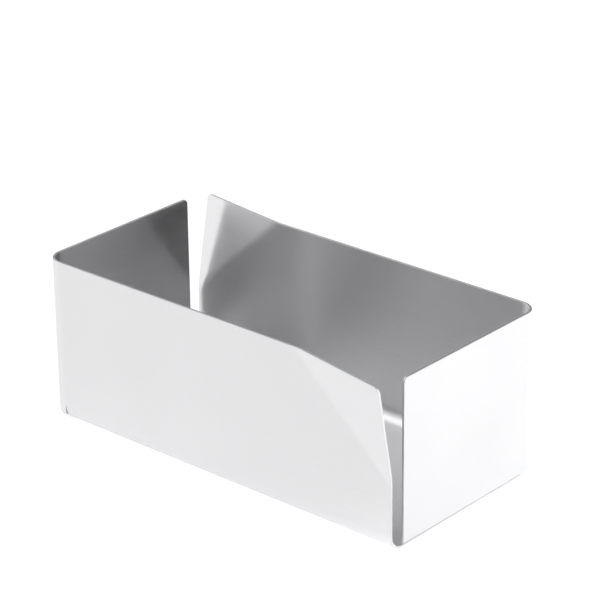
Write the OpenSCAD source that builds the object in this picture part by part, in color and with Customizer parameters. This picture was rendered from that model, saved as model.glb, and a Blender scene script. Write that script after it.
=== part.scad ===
// Open holder for sugar packets, folded from one thin sheet of steel.
// Each long wall is bent up from the base and runs on round an upright bend into an end wall, whose foot
// hangs free beside the base. The holder is the same after half a turn. The two other corners stay open,
// and there the long wall's free upper corner is folded outwards along a diagonal.
// The origin is on the table, under the middle of the holder. X runs along it, and the front is at -Y.

/* [Tray] */
// Length over the end walls
tray_l = 133; // [100:1:200]
// Width over the long walls
tray_w = 64; // [45:1:110]
// Height of the walls
tray_h = 52; // [42:1:80]
// Thickness of the sheet
sheet_t = 0.8; // [0.6:0.1:1.5]

/* [Bends] */
// Inside radius of the bends from the base to the long walls
base_bend_r = 4.2; // [1.6:0.1:6]
// Inside radius of the two upright corner bends
corner_bend_r = 5.2; // [3.5:0.1:12]
// Height of the free foot of the end walls and their corner bends
end_wall_lift = 2.3; // [1:0.1:5]
// Width of the slit between a base bend and the foot of its corner bend
corner_slit = 0.1; // [0.1:0.1:2]

/* [Open corners] */
// How far a long wall and the base stop short of the end wall's outer face
long_wall_gap = 1.6; // [1.6:0.1:3.5]
// How far an end wall stops short of the long wall's outer face
end_wall_gap = 3.6; // [2:0.1:8]
// Radius on the free upper corners of the sheet
free_corner_r = 1.6; // [0.5:0.1:5]

/* [Flared corners] */
// Length of the fold along the top edge, from the free edge
flare_l = 33.4; // [20:0.2:45]
// Depth of the fold down the free edge, from the top
flare_h = 30.6; // [15:0.2:36]
// Angle by which the corner is folded outwards
flare_angle = 13.3; // [4:0.1:25]
// Radius of the fold, on the outer face
flare_bend_r = 12; // [2:1:24]

/* [Hidden] */
$fn = 96;

// The colours of the brushed faces: the sheet, and its bends, which catch the light
sheet_colour = [0.80, 0.80, 0.81];
bend_colour = [0.86, 0.86, 0.87];

// How far a cutting shape runs past what it cuts
overrun = 1;

// Outer radii of the two kinds of bend
base_outer_r = base_bend_r + sheet_t;
corner_outer_r = corner_bend_r + sheet_t;

// The planes where the flat panels end and the bends begin
half_l = tray_l / 2;
half_w = tray_w / 2;
base_y = half_w - base_outer_r;
closed_x = half_l - corner_outer_r;
closed_y = half_w - corner_outer_r;

// The free edges beside the open corners, as distances from the middle
free_x = half_l - long_wall_gap;
free_y = half_w - end_wall_gap;

// Radius that keeps the base clear of the corner bends
base_corner_r = free_x - closed_x;

// The fold of a flared corner: its slope, its length, and how far its bend reaches either side of it
fold_slope = atan2(flare_h, flare_l);
fold_l = norm([flare_l, flare_h]);
fold_reach = flare_bend_r * tan(flare_angle / 2);
reach_along_top = fold_reach * fold_l / flare_h;
reach_down_edge = fold_reach * fold_l / flare_l;

// The two halves of the holder are alike: what stands in front stands behind after half a turn
module half_turn() {
    rotate([0, 0, 180]) children();
}

// What is cut off a square corner at the origin, with its sides along -X and -Y, to round it
module corner_cut(r) {
    translate([-r, -r]) difference() {
        square(r + overrun);
        circle(r);
    }
}

// Section through a base bend: its centre at the origin, the wall at +X and the base at -Y
module base_bend_section() {
    intersection() {
        difference() {
            circle(base_outer_r);
            circle(base_bend_r);
        }
        translate([0, -base_outer_r]) square(base_outer_r);
    }
}

// Section through the upright bend, from its free foot to the top
module corner_bend_section() {
    translate([corner_bend_r, end_wall_lift]) square([sheet_t, tray_h - end_wall_lift]);
}

// Outline of a long wall's flat part, seen from outside: X along the wall and Y up
module long_wall_outline() {
    polygon([
        [-closed_x, base_outer_r],
        [free_x, base_outer_r],
        [free_x, tray_h - flare_h - reach_down_edge],
        [free_x - flare_l - reach_along_top, tray_h],
        [-closed_x, tray_h]
    ]);
}

// Outline of an end wall's flat part, from the closed corner to the free edge
module end_wall_outline() {
    difference() {
        translate([-closed_y, end_wall_lift]) square([closed_y + free_y, tray_h - end_wall_lift]);
        translate([free_y, tray_h]) corner_cut(free_corner_r);
    }
}

// Outline of the flat base, between its two bends, rounded where it lies inside a closed corner
module base_outline() {
    room_y = closed_y + base_corner_r;
    intersection() {
        square([2 * free_x, 2 * base_y], center = true);
        difference() {
            square([2 * free_x, 2 * room_y], center = true);
            for (turn = [0, 180]) rotate(turn) translate([free_x, room_y]) corner_cut(base_corner_r);
        }
    }
}

// Outline of a flared corner's flat tip: its square corner at the origin, with its sides along -X and -Y
module flare_outline() {
    difference() {
        polygon([
            [reach_along_top - flare_l, 0],
            [0, reach_down_edge - flare_h],
            [0, 0]
        ]);
        corner_cut(free_corner_r);
    }
}

// The bend of the fold, trimmed to the sheet's top edge and free edge by a prism square to its middle
module fold_bend() {
    reach = fold_reach + overrun;
    top_lean = reach * flare_l / flare_h / cos(flare_angle / 2);
    edge_lean = reach * flare_h / flare_l / cos(flare_angle / 2);
    sweep_l = fold_l + 2 * (top_lean + edge_lean);
    intersection() {
        translate([fold_l / 2, -fold_reach, flare_bend_r]) rotate([0, 90, 0])
            rotate_extrude(angle = flare_angle)
                translate([flare_bend_r, -sweep_l / 2]) square([sheet_t, sweep_l]);
        rotate([flare_angle / 2, 0, 0]) translate([0, 0, -sheet_t - overrun])
            linear_extrude(sheet_t + overrun + fold_reach)
                polygon([
                    [-top_lean, -reach], [fold_l + edge_lean, -reach],
                    [fold_l - edge_lean, reach], [top_lean, reach]
                ]);
    }
}

// Puts what is drawn along the fold in its place on the front wall. X runs down the fold from the top
// edge, Y towards the free corner and Z outwards from the wall's outer face
module on_front_fold() {
    translate([free_x - flare_l, -half_w, tray_h]) rotate([90, 0, 0]) rotate([0, 0, -fold_slope]) children();
}

// Puts a wall that is drawn flat, X along it and Y up, upright behind the front's outer face
module on_front_face() {
    translate([0, sheet_t - half_w, 0]) rotate([90, 0, 0]) children();
}

// The same for the left end, with X running towards the back
module on_left_face() {
    translate([-half_l, 0, 0]) rotate([90, 0, 90]) children();
}

// Puts a shape turned about the Z axis in the closed corner at the front left
module in_closed_corner() {
    translate([-closed_x, -closed_y, 0]) rotate([0, 0, 180]) children();
}

module base_panel() {
    color(sheet_colour) linear_extrude(sheet_t) base_outline();
}

module front_wall() {
    color(sheet_colour) on_front_face() linear_extrude(sheet_t) long_wall_outline();
}

module back_wall() {
    half_turn() front_wall();
}

module left_end_wall() {
    color(sheet_colour) on_left_face() linear_extrude(sheet_t) end_wall_outline();
}

module right_end_wall() {
    half_turn() left_end_wall();
}

module front_base_bend() {
    color(bend_colour) translate([free_x, -base_y, base_outer_r]) rotate([90, 0, -90])
        linear_extrude(free_x + closed_x - corner_slit) base_bend_section();
}

module back_base_bend() {
    half_turn() front_base_bend();
}

module front_left_corner_bend() {
    color(bend_colour) in_closed_corner() rotate_extrude(angle = 90) corner_bend_section();
}

module back_right_corner_bend() {
    half_turn() front_left_corner_bend();
}

module front_flare_bend() {
    color(bend_colour) on_front_fold() fold_bend();
}

module back_flare_bend() {
    half_turn() front_flare_bend();
}

// The flat tip is turned outwards about the fold, and its square corner lies where the sheet's would
module front_flared_corner() {
    color(sheet_colour) on_front_fold() rotate([flare_angle, 0, 0]) translate([0, 0, -sheet_t])
        linear_extrude(sheet_t) rotate(fold_slope) translate([flare_l, 0]) flare_outline();
}

module back_flared_corner() {
    half_turn() front_flared_corner();
}

base_panel();
front_wall();
back_wall();
left_end_wall();
right_end_wall();
front_base_bend();
back_base_bend();
front_left_corner_bend();
back_right_corner_bend();
front_flare_bend();
back_flare_bend();
front_flared_corner();
back_flared_corner();
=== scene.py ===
"""Dresses the folded steel packet holder: each panel and bend as brushed sheet with softened cut edges."""
import math

import bmesh
import bpy
from mathutils import Matrix, Quaternion, Vector


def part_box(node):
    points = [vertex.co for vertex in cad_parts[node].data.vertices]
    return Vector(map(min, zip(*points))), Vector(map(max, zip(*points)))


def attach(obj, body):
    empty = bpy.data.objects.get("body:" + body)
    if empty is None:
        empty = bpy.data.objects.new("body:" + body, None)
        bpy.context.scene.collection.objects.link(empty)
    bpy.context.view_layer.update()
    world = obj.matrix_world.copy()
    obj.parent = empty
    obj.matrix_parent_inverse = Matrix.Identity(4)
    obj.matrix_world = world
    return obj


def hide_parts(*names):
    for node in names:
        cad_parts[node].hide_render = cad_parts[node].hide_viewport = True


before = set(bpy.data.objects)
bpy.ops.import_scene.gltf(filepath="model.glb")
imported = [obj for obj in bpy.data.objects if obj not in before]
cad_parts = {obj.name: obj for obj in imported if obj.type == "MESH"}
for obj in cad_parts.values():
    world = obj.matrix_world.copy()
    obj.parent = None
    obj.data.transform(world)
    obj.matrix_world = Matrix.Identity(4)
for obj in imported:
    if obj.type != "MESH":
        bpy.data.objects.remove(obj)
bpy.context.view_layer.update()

# Lengths here are in millimetres, and the finished meshes are scaled to metres
MM = 0.001

# Sizes of the sheet, read from the boxes of two panels: the outer faces, and the planes where panels end
wall_low, wall_high = [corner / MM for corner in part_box("front_wall")]
end_low, end_high = [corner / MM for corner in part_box("left_end_wall")]
sheet_t = wall_high.y - wall_low.y
tray_h = wall_high.z
half_w = -wall_low.y
half_l = -end_low.x
free_x = wall_high.x
free_y = end_high.y
closed_x = -wall_low.x
closed_y = -end_low.y

# Outer radii of the base bends and of the two closed corners, the base's own edge, and the end walls' feet
base_r = wall_low.z
corner_r = half_l - closed_x
base_y = half_w - base_r
foot_z = end_low.z

# Where a base bend starts, just short of its closed corner
bend_start_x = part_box("front_base_bend")[0].x / MM

# The flared corners: the fold's length along the top and down the free edge, its angle, and the radius of
# its outer face
flare_l = 33.4
flare_h = 30.6
flare_angle = math.radians(13.3)
flare_r = 12.0

# The fold's slope and length, how far its bend reaches to either side, and what that takes of the top edge
# and of the free edge
fold_slope = math.atan2(flare_h, flare_l)
fold_l = math.hypot(flare_l, flare_h)
fold_reach = flare_r * math.tan(flare_angle / 2)
reach_along_top = fold_reach * fold_l / flare_h
reach_down_edge = fold_reach * fold_l / flare_l

# Radius of the free upper corners of the sheet, and how far its cut edges are softened
free_corner_r = 1.6
softened = 0.15

# Steps round a quarter bend, round the fold, round a free corner and over a softened edge
bend_steps = 56
fold_steps = 16
arc_steps = 10
edge_steps = 3

# Edges that turn by less than this are shaded smooth
smooth_below = math.radians(40)

QUARTER = math.pi / 2
HALF_TURN = Matrix.Rotation(math.pi, 4, "Z")


class Wire:
    """A number that runs between nodes. Sums on it become Math nodes."""

    def __init__(self, graph, socket):
        self.graph = graph
        self.socket = socket

    def __add__(self, other):
        return self.graph.math("ADD", self, other)

    def __radd__(self, other):
        return self.graph.math("ADD", other, self)

    def __sub__(self, other):
        return self.graph.math("SUBTRACT", self, other)

    def __rsub__(self, other):
        return self.graph.math("SUBTRACT", other, self)

    def __mul__(self, other):
        return self.graph.math("MULTIPLY", self, other)

    def __rmul__(self, other):
        return self.graph.math("MULTIPLY", other, self)

    def output(self, name):
        """Another output of the node that this one comes from."""
        return Wire(self.graph, self.socket.node.outputs[name])


class Graph:
    """A node tree in the making."""

    def __init__(self, tree):
        self.tree = tree

    def node(self, kind, settings=None, values=None, output=0):
        """Adds a node: its settings first, then its sockets' values or wires, by name or by place."""
        made = self.tree.nodes.new(kind)
        for name, value in (settings or {}).items():
            setattr(made, name, value)
        for place, value in (values or {}).items():
            if isinstance(value, Wire):
                self.tree.links.new(value.socket, made.inputs[place])
            else:
                made.inputs[place].default_value = value
        return Wire(self, made.outputs[output]) if made.outputs else None

    def math(self, operation, *values):
        return self.node("ShaderNodeMath", {"operation": operation}, dict(enumerate(values)))


def empty_graph(owner):
    """The cleared node tree of a material or world."""
    owner.use_nodes = True
    owner.node_tree.nodes.clear()
    return Graph(owner.node_tree)


# The finish of the sheet

# How often the fine brush lines and the longer streaks change, per metre, along the grain and across it
LINES = (30.0, 1500.0)
STREAKS = (40.0, 1200.0)

# How high the lines and the streaks stand, in millimetres
LINE_HEIGHT = 0.002
STREAK_HEIGHT = 0.045

# How often the cloudy patches of the brushing and the grit of the cut edges change, per metre
CLOUDS = 28.0
GRIT = 2400.0

# Roughness of a brushed face at its smoothest, and what the lines and the clouds add at most
FACE_ROUGHNESS = 0.25
LINE_ROUGHNESS = 0.06
CLOUD_ROUGHNESS = 0.04

# Roughness of a cut edge at its smoothest, and what the grit adds at most
CUT_ROUGHNESS = 0.42
GRIT_ROUGHNESS = 0.12

# The darker and the lighter tone of the brushed faces and of the cut edges
FACE_TONES = (0.76, 0.76, 0.77, 1), (0.80, 0.80, 0.81, 1)
CUT_TONES = (0.88, 0.88, 0.89, 1), (0.94, 0.94, 0.95, 1)


def noise(graph, place, scale, detail, roughness):
    return graph.node("ShaderNodeTexNoise", {"noise_dimensions": "3D"}, {
        "Vector": place, "Scale": scale, "Detail": detail, "Roughness": roughness,
    })


def brush_marks(graph, place, across, changes, detail, roughness):
    """A noise drawn out along the grain. across names the axes along which it changes fast."""
    slow, fast = changes
    drawn_out = graph.node("ShaderNodeMapping", values={
        "Vector": place, "Scale": [fast if axis in across else slow for axis in "XYZ"],
    })
    return noise(graph, drawn_out, 1.0, detail, roughness)


def tone_between(graph, share, tones):
    return graph.node("ShaderNodeMix", {"data_type": "RGBA"}, {
        "Factor": share, "A": tones[0], "B": tones[1],
    }, output="Result")


def brushed_steel(name, across):
    """Satin steel whose brush lines lie square to the axes named in across."""
    material = bpy.data.materials.new(name)
    graph = empty_graph(material)
    place = graph.node("ShaderNodeTexCoord", output="Object")
    lines = brush_marks(graph, place, across, LINES, detail=4.0, roughness=0.62)
    streaks = brush_marks(graph, place, across, STREAKS, detail=1.0, roughness=0.5)
    clouds = noise(graph, place, CLOUDS, detail=2.0, roughness=0.5)
    relief = graph.node("ShaderNodeBump", values={
        "Strength": 1.0, "Distance": MM, "Height": LINE_HEIGHT * lines + STREAK_HEIGHT * streaks,
    }, output="Normal")
    steel = graph.node("ShaderNodeBsdfPrincipled", values={
        "Base Color": tone_between(graph, lines, FACE_TONES),
        "Metallic": 1.0,
        "Roughness": FACE_ROUGHNESS + LINE_ROUGHNESS * lines + CLOUD_ROUGHNESS * clouds,
        "Anisotropic": 1.0,
        "Anisotropic Rotation": 0.25,
        "Normal": relief,
    })
    graph.node("ShaderNodeOutputMaterial", values={"Surface": steel})
    return material


def cut_steel():
    """The sheared edge of the sheet, duller than its faces."""
    material = bpy.data.materials.new("cut_steel")
    graph = empty_graph(material)
    place = graph.node("ShaderNodeTexCoord", output="Object")
    grit = noise(graph, place, GRIT, detail=2.0, roughness=0.5)
    steel = graph.node("ShaderNodeBsdfPrincipled", values={
        "Base Color": tone_between(graph, grit, CUT_TONES),
        "Metallic": 0.5,
        "Roughness": CUT_ROUGHNESS + GRIT_ROUGHNESS * grit,
    })
    graph.node("ShaderNodeOutputMaterial", values={"Surface": steel})
    return material


# The brush lines lie level on the upright sheet, and run along X on the base and its bends
upright_finish = brushed_steel("brushed_upright", "Z")
lengthwise_finish = brushed_steel("brushed_lengthwise", "YZ")
cut_finish = cut_steel()

# Places of the two finishes among a piece's materials
BRUSHED = 0
CUT = 1


# Making the pieces

def frame_at(origin, x_axis, z_axis):
    """A local frame at origin, with its X and Z axes turned as given."""
    x_axis = Vector(x_axis).normalized()
    z_axis = Vector(z_axis).normalized()
    turned = Matrix((x_axis, z_axis.cross(x_axis), z_axis)).transposed()
    return Matrix.Translation(origin) @ turned.to_4x4()


def bend_tree():
    """A tree that carries the points of a unit box onto a bend along X, with the sheet's middle towards +Z.

    The bend's centre line starts at the origin. Each end may lean, as where the fold meets a free edge.
    """
    tree = bpy.data.node_groups.new("sheet_bend", "GeometryNodeTree")
    for size in ("Thickness", "Inner radius", "Angle", "Length", "Start lean", "End lean"):
        tree.interface.new_socket(size, in_out="INPUT", socket_type="NodeSocketFloat")
    tree.interface.new_socket("Steps", in_out="INPUT", socket_type="NodeSocketInt")
    tree.interface.new_socket("Finish", in_out="INPUT", socket_type="NodeSocketMaterial")
    tree.interface.new_socket("Geometry", in_out="OUTPUT", socket_type="NodeSocketGeometry")
    graph = Graph(tree)
    given = graph.node("NodeGroupInput")
    box = graph.node("GeometryNodeMeshCube", values={
        "Size": (1.0, 1.0, 1.0), "Vertices X": 2, "Vertices Y": given.output("Steps") + 1, "Vertices Z": 2,
    }, output="Mesh")
    share = graph.node("GeometryNodeInputPosition")
    kept = graph.node("GeometryNodeStoreNamedAttribute", {"data_type": "FLOAT_VECTOR", "domain": "POINT"}, {
        "Geometry": box, "Name": "share", "Value": share,
    })
    along = graph.node("ShaderNodeSeparateXYZ", values={0: share}, output="X")
    across = along.output("Y")
    depth = along.output("Z")
    turn = given.output("Angle") * across
    radius = given.output("Inner radius") + given.output("Thickness") * (depth + 0.5)
    start = given.output("Start lean") * across * 2
    end = given.output("Length") + given.output("End lean") * across * 2
    place = graph.node("ShaderNodeCombineXYZ", values={
        "X": start + (end - start) * (along + 0.5),
        "Y": radius * graph.math("SINE", turn),
        "Z": radius * graph.math("COSINE", turn),
    })
    bent = graph.node("GeometryNodeSetPosition", values={"Geometry": kept, "Position": place})
    real = graph.node("GeometryNodeRealizeInstances", values={"Geometry": bent})
    done = graph.node("GeometryNodeSetMaterial", values={
        "Geometry": real, "Material": given.output("Finish"),
    })
    graph.node("NodeGroupOutput", values={"Geometry": done})
    return tree


sheet_bend = bend_tree()


def mesh_as_seen(thing):
    """A plain mesh of an object as its modifiers leave it."""
    seen = thing.evaluated_get(bpy.context.evaluated_depsgraph_get())
    return bpy.data.meshes.new_from_object(seen)


def bend(place, finish, steps, sizes):
    """Runs the bend's tree, and returns its mesh in place with the free edges of its two cut ends.

    All its points lie at one end or the other, so a face that has corners at one end alone is a cut one.
    """
    holder = bpy.data.objects.new("bend_in_the_making", bpy.data.meshes.new("bend"))
    bpy.context.scene.collection.objects.link(holder)
    modifier = holder.modifiers.new("bend", "NODES")
    modifier.node_group = sheet_bend
    values = {"Thickness": sheet_t, "Steps": steps, "Finish": finish, **sizes}
    for socket in sheet_bend.interface.items_tree:
        if socket.name in values:
            modifier[socket.identifier] = values[socket.name]
    made = mesh_as_seen(holder)
    bpy.data.objects.remove(holder)
    work = bmesh.new()
    work.from_mesh(made)
    bpy.data.meshes.remove(made)
    share = work.verts.layers.float_vector["share"]
    free = []
    for face in work.faces:
        ends = {corner[share].x > 0 for corner in face.verts}
        is_cut = len(ends) == 1
        face.material_index = CUT if is_cut else BRUSHED
        for edge in face.edges:
            step = edge.verts[1][share] - edge.verts[0][share]
            if is_cut and abs(step.y) > abs(step.z):
                free.append(edge)
    work.verts.layers.float_vector.remove(share)
    work.transform(place)
    return work, free


def panel(place, outline):
    """A flat panel with its outer face up, and its free edges.

    outline goes round it: X, Y, and whether the side from there on is free.
    """
    work = bmesh.new()
    outer = [work.verts.new((x, y, 0)) for x, y, _ in outline]
    inner = [work.verts.new((x, y, -sheet_t)) for x, y, _ in outline]
    work.faces.new(outer)
    work.faces.new(inner[::-1])
    free = []
    for i, (_, _, is_free) in enumerate(outline):
        j = (i + 1) % len(outline)
        side = work.faces.new((outer[i], inner[i], inner[j], outer[j]))
        if is_free:
            side.material_index = CUT
            free += [work.edges.get((outer[i], outer[j])), work.edges.get((inner[i], inner[j]))]
    work.transform(place)
    return work, free


def free_arc(x, y, radius, start, sweep):
    """Points of a free arc round X, Y, from the angle start on. The side after the last one is free too."""
    turns = [start + sweep * i / arc_steps for i in range(arc_steps + 1)]
    return [(x + radius * math.cos(t), y + radius * math.sin(t), True) for t in turns]


def grain_space(mesh, centre):
    """Sets where the sheet's grain lies for the shader: along circles round this point, in metres."""
    mesh.use_auto_texspace = False
    mesh.texspace_location = centre
    mesh.texspace_size = (1.0, 1.0, 1.0)


def finish_piece(node, work, free, finish, grain_centre):
    """Softens the free edges and makes the piece that stands for a node."""
    name = node + "_sheet"
    work.normal_update()
    bmesh.ops.bevel(
        work, geom=free, offset=softened, offset_type="OFFSET", segments=edge_steps, profile=0.5,
        affect="EDGES", material=CUT)
    work.transform(Matrix.Scale(MM, 4))
    mesh = bpy.data.meshes.new(name)
    mesh.materials.append(finish)
    mesh.materials.append(cut_finish)
    work.to_mesh(mesh)
    work.free()
    mesh.shade_smooth()
    mesh.set_sharp_from_angle(angle=smooth_below)
    piece = bpy.data.objects.new(name, mesh)
    bpy.context.scene.collection.objects.link(piece)
    even = piece.modifiers.new("even_normals", "WEIGHTED_NORMAL")
    even.keep_sharp = True
    flat = mesh_as_seen(piece)
    piece.modifiers.clear()
    piece.data = flat
    flat.name = name
    grain_space(flat, grain_centre)
    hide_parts(node)
    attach(piece, "root")


def pair(front, back, made, finish, grain_centre):
    """Makes a piece of the front half, and its twin of the back half by half a turn."""
    work, free = made
    twin = work.copy()
    twin.transform(HALF_TURN)
    work.edges.index_update()
    twin.edges.ensure_lookup_table()
    twin_free = [twin.edges[edge.index] for edge in free]
    finish_piece(front, work, free, finish, grain_centre)
    finish_piece(back, twin, twin_free, finish, grain_centre)


# The centres of the grain's circles: so far off that the grain is straight, or the tray's own middle
ALONG_X = (0.0, 20.0, 0.0)
ALONG_Y = (20.0, 0.0, 0.0)
ROUND = (0.0, 0.0, 0.0)

# The fold's own frame: at the top kink of the front wall's outer face, X down the fold and Z outwards
fold_frame = frame_at(
    (free_x - flare_l, -half_w, tray_h), (math.cos(fold_slope), 0, -math.sin(fold_slope)), (0, -1, 0))

# The frame of the flared tip: at its square corner, with X along its top edge
tip_frame = (fold_frame @ Matrix.Rotation(flare_angle, 4, "X") @ Matrix.Rotation(fold_slope, 4, "Z")
             @ Matrix.Translation((flare_l, 0, 0)))


def front_wall():
    return panel(frame_at((0, -half_w, 0), (1, 0, 0), (0, -1, 0)), [
        (-closed_x, base_r, False),
        (free_x, base_r, True),
        (free_x, tray_h - flare_h - reach_down_edge, False),
        (free_x - flare_l - reach_along_top, tray_h, True),
        (-closed_x, tray_h, False),
    ])


def left_end_wall():
    """Seen from outside, with X towards the front."""
    return panel(frame_at((-half_l, 0, 0), (0, -1, 0), (-1, 0, 0)), [
        (-free_y, foot_z, True),
        (closed_y, foot_z, False),
        (closed_y, tray_h, True),
        *free_arc(free_corner_r - free_y, tray_h - free_corner_r, free_corner_r, QUARTER, QUARTER),
    ])


def base_panel():
    """Seen from below, with Y towards the front. Rounded at the closed corners, clear of their bends."""
    round_r = free_x - closed_x
    sweep = math.asin((base_y - closed_y) / round_r)
    front_half = [
        (free_x, base_y, False),
        (bend_start_x, base_y, True),
        *free_arc(-closed_x, closed_y, round_r, math.pi - sweep, sweep),
    ]
    back_half = [(-x, -y, is_free) for x, y, is_free in front_half]
    return panel(frame_at((0, 0, 0), (1, 0, 0), (0, 0, -1)), front_half + back_half)


def front_flared_corner():
    return panel(tip_frame, [
        (reach_along_top - flare_l, 0, False),
        (0, reach_down_edge - flare_h, True),
        *free_arc(-free_corner_r, -free_corner_r, free_corner_r, 0, QUARTER),
    ])


def front_base_bend():
    return bend(
        frame_at((bend_start_x, -base_y, base_r), (1, 0, 0), (0, -1, -1)), lengthwise_finish, bend_steps,
        {"Inner radius": base_r - sheet_t, "Angle": QUARTER, "Length": free_x - bend_start_x})


def front_left_corner_bend():
    return bend(
        frame_at((-closed_x, -closed_y, foot_z), (0, 0, 1), (-1, -1, 0)), upright_finish, bend_steps,
        {"Inner radius": corner_r - sheet_t, "Angle": QUARTER, "Length": tray_h - foot_z})


def front_flare_bend():
    """The fold turns outwards, so its centre line lies outside and its inner radius is the outer face's."""
    middle = flare_angle / 2
    place = frame_at((0, -fold_reach, flare_r), (1, 0, 0), (0, math.sin(middle), -math.cos(middle)))
    return bend(fold_frame @ place, upright_finish, fold_steps, {
        "Inner radius": flare_r, "Angle": flare_angle, "Length": fold_l,
        "Start lean": -fold_reach * flare_l / flare_h,
        "End lean": fold_reach * flare_h / flare_l,
    })


pair("front_wall", "back_wall", front_wall(), upright_finish, ALONG_X)
pair("left_end_wall", "right_end_wall", left_end_wall(), upright_finish, ALONG_Y)
pair("front_base_bend", "back_base_bend", front_base_bend(), lengthwise_finish, ALONG_X)
pair("front_left_corner_bend", "back_right_corner_bend", front_left_corner_bend(), upright_finish, ROUND)
pair("front_flare_bend", "back_flare_bend", front_flare_bend(), upright_finish, ALONG_X)
pair("front_flared_corner", "back_flared_corner", front_flared_corner(), upright_finish, ALONG_X)
finish_piece("base_panel", *base_panel(), lengthwise_finish, ALONG_X)


# The studio: a white floor that keeps the shadow, a white room, soft lamps and the photograph's viewpoint

# How far the floor reaches from the middle, in metres, and its grey under the lamps
FLOOR_REACH = 3.0
FLOOR_GREY = 0.85

# How much the floor glows on the front left and on the back right, where between them the change begins and
# ends, in metres, and what share of the way back counts there beside the way right
FLOOR_GLOW = (0.70, 1.17)
FLOOR_SPAN = (0.0, 0.11)
FLOOR_BACK_SHARE = 0.5

# How bright the room is as light on the floor, and as seen in the steel
ROOM_LIGHT = 0.6
ROOM_SEEN = 0.88

# Darker and brighter parts of the room: azimuth and elevation of the middle, how far round it the part is
# full, where it ends, all in degrees, and by what share it changes the room
ROOM_PARTS = {
    "dark behind": (202, 37, 23, 76, -0.97),
    "dim on the back left": (224, 31, 10, 34, -0.45),
    "dark on the back right": (138, 28, 9, 29, -0.97),
    "dark in front": (11, 13, 18, 61, -0.97),
    "bright on the right": (92, 25, 14, 48, 0.68),
    "bright on the left": (281, 32, 10, 34, 0.80),
}

# The photograph's viewpoint: azimuth, elevation and tilt in degrees, then in millimetres the point in the
# middle of the picture, the way from it to the camera, the lens and the sensor's width
VIEW_AZIMUTH = 41.37
VIEW_ELEVATION = 23.89
VIEW_TILT = -0.675
VIEW_MIDDLE = (-1.92, 7.96, 42.85)
VIEW_DISTANCE = 761.12
VIEW_LENS = 157.39
SENSOR_WIDTH = 36

# Nearest distance that the camera sees, in metres
NEAREST_SEEN = 0.01


def towards(azimuth, elevation):
    """The direction from the object to something at this azimuth and elevation, in degrees."""
    a = math.radians(azimuth)
    e = math.radians(elevation)
    return Vector((math.sin(a) * math.cos(e), -math.cos(a) * math.cos(e), math.sin(e)))


def white_floor():
    """White, with a glow for what sees the floor, which grows from the front left to the back right."""
    material = bpy.data.materials.new("white_floor")
    graph = empty_graph(material)
    camera = graph.node("ShaderNodeLightPath", output="Is Camera Ray")
    mirrored = graph.math("MAXIMUM", camera.output("Is Glossy Ray"), camera.output("Is Transmission Ray"))
    seen = graph.math("MAXIMUM", camera, mirrored)
    place = graph.node("ShaderNodeTexCoord", output="Object")
    right = graph.node("ShaderNodeSeparateXYZ", values={0: place}, output="X")
    glow = graph.node("ShaderNodeMapRange", {"interpolation_type": "SMOOTHSTEP"}, {
        "Value": right + FLOOR_BACK_SHARE * right.output("Y"),
        "From Min": FLOOR_SPAN[0], "From Max": FLOOR_SPAN[1],
        "To Min": FLOOR_GLOW[0], "To Max": FLOOR_GLOW[1],
    })
    lit = graph.node("ShaderNodeBsdfDiffuse", values={"Color": (FLOOR_GREY, FLOOR_GREY, FLOOR_GREY, 1)})
    shown = graph.node("ShaderNodeEmission", values={"Color": (1, 1, 1, 1), "Strength": glow * seen})
    both = graph.node("ShaderNodeAddShader", values={0: lit, 1: shown})
    graph.node("ShaderNodeOutputMaterial", values={"Surface": both})
    return material


def make_floor():
    r = FLOOR_REACH
    mesh = bpy.data.meshes.new("floor")
    mesh.from_pydata([(-r, -r, 0), (r, -r, 0), (r, r, 0), (-r, r, 0)], [], [(0, 1, 2, 3)])
    mesh.materials.append(white_floor())
    floor = bpy.data.objects.new("floor", mesh)
    bpy.context.scene.collection.objects.link(floor)


def room_part(graph, way, azimuth, elevation, full, ends, change):
    """What the room is multiplied by along a direction."""
    nearness = graph.node("ShaderNodeVectorMath", {"operation": "DOT_PRODUCT"}, {
        0: way, 1: towards(azimuth, elevation),
    }, output="Value")
    return graph.node("ShaderNodeMapRange", {"interpolation_type": "SMOOTHSTEP"}, {
        "Value": nearness,
        "From Min": math.cos(math.radians(ends)), "From Max": math.cos(math.radians(full)),
        "To Min": 1.0, "To Max": 1.0 + change,
    })


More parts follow.
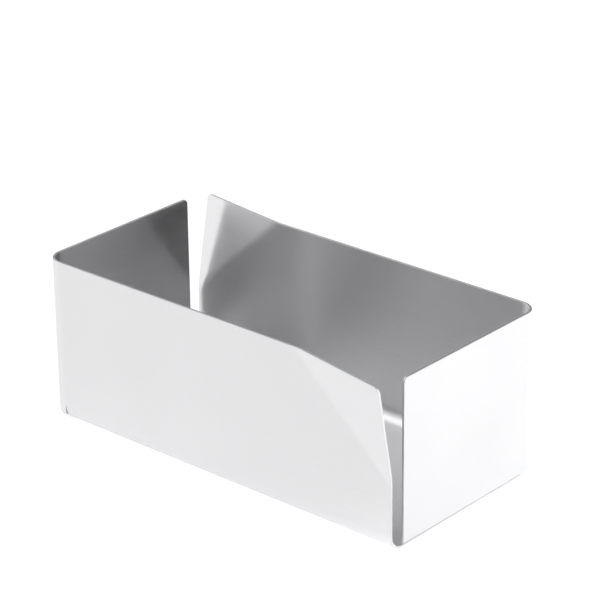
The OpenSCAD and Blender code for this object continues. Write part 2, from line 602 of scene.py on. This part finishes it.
def make_world():
    """A room that the camera sees white, and the steel with its darker and brighter parts."""
    world = bpy.data.worlds.new("studio")
    graph = empty_graph(world)
    way = graph.node("ShaderNodeTexCoord", output="Generated")
    camera = graph.node("ShaderNodeLightPath", output="Is Camera Ray")
    mirrored = graph.math("MAXIMUM", camera.output("Is Glossy Ray"), camera.output("Is Transmission Ray"))
    strength = ROOM_LIGHT + (ROOM_SEEN - ROOM_LIGHT) * mirrored
    for part in ROOM_PARTS.values():
        strength = strength * room_part(graph, way, *part)
    background = graph.node("ShaderNodeBackground", values={
        "Color": (1, 1, 1, 1), "Strength": graph.math("MAXIMUM", camera, strength),
    })
    graph.node("ShaderNodeOutputWorld", values={"Surface": background})
    bpy.context.scene.world = world


def make_softbox(name, azimuth, elevation, distance, size, power):
    """A square lamp that faces the origin: its distance and size in metres, and its power in watts."""
    light = bpy.data.lights.new(name, "AREA")
    light.shape = "SQUARE"
    light.size = size
    light.energy = power
    lamp = bpy.data.objects.new(name, light)
    back = towards(azimuth, elevation)
    lamp.location = back * distance
    lamp.rotation_mode = "QUATERNION"
    lamp.rotation_quaternion = back.to_track_quat("Z", "Y")
    bpy.context.scene.collection.objects.link(lamp)


def make_camera():
    data = bpy.data.cameras.new("camera")
    data.sensor_width = SENSOR_WIDTH
    data.lens = VIEW_LENS
    data.clip_start = NEAREST_SEEN
    camera = bpy.data.objects.new("camera", data)
    back = towards(VIEW_AZIMUTH, VIEW_ELEVATION)
    camera.location = (Vector(VIEW_MIDDLE) + back * VIEW_DISTANCE) * MM
    camera.rotation_mode = "QUATERNION"
    tilt = Quaternion((0, 0, 1), math.radians(VIEW_TILT))
    camera.rotation_quaternion = back.to_track_quat("Z", "Y") @ tilt
    bpy.context.scene.collection.objects.link(camera)
    bpy.context.scene.camera = camera


make_floor()
make_world()
make_softbox("right_softbox", azimuth=95, elevation=30, distance=1.2, size=0.8, power=1.8)
make_softbox("left_softbox", azimuth=270, elevation=50, distance=1.6, size=0.8, power=3.8)
make_camera()
bpy.context.scene.view_settings.view_transform = "Standard"
